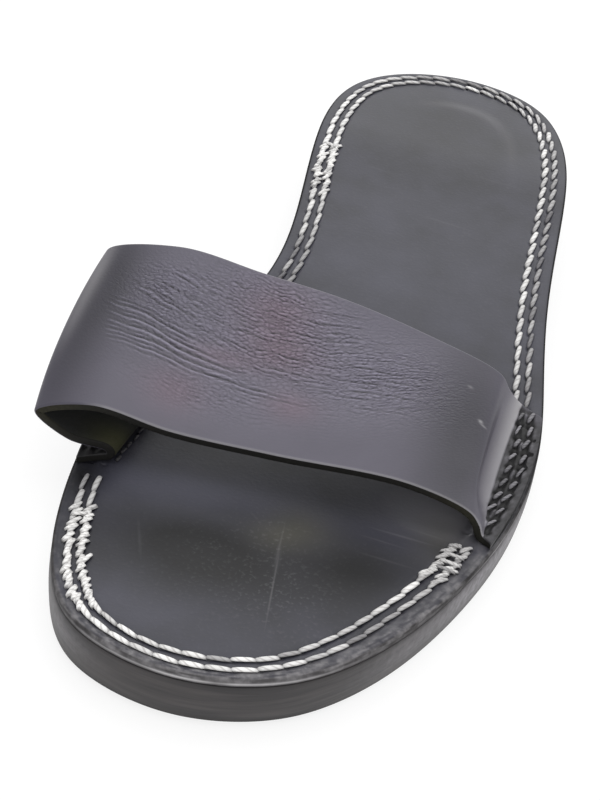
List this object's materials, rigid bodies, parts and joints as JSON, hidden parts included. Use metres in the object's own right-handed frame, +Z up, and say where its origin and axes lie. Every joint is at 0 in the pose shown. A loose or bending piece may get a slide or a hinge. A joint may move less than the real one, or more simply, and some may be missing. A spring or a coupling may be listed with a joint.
{
  "type": "flat sandal",
  "caption": "Flat slide sandal for the left foot: one broad dark leather strap sewn over a leather footbed on a dark rubber sole with a low heel.",
  "frame": {"origin": "on the floor, under the middle of the sandal's box", "axes": "+Z up from the floor, toe towards -Y, heel towards +Y, the foot's outer side towards +X"},
  "size_m": [0.1134, 0.2704, 0.0405],
  "materials": {
    "sole_rubber": "dark grey-black rubber, satin, with a buffed edge",
    "footbed_leather": "smooth dark grey leather, satin and polished by wear",
    "strap_leather": "soft dark grey leather with fine creases across it",
    "white_thread": "off-white waxed sewing thread, thick and loosely twisted",
    "black_thread": "black waxed sewing thread, thick and loosely twisted"
  },
  "bodies": {
    "root": {"outsole": "sole_rubber", "heel": "sole_rubber", "footbed": "footbed_leather", "strap": "strap_leather"}
  },
  "joints": []
}
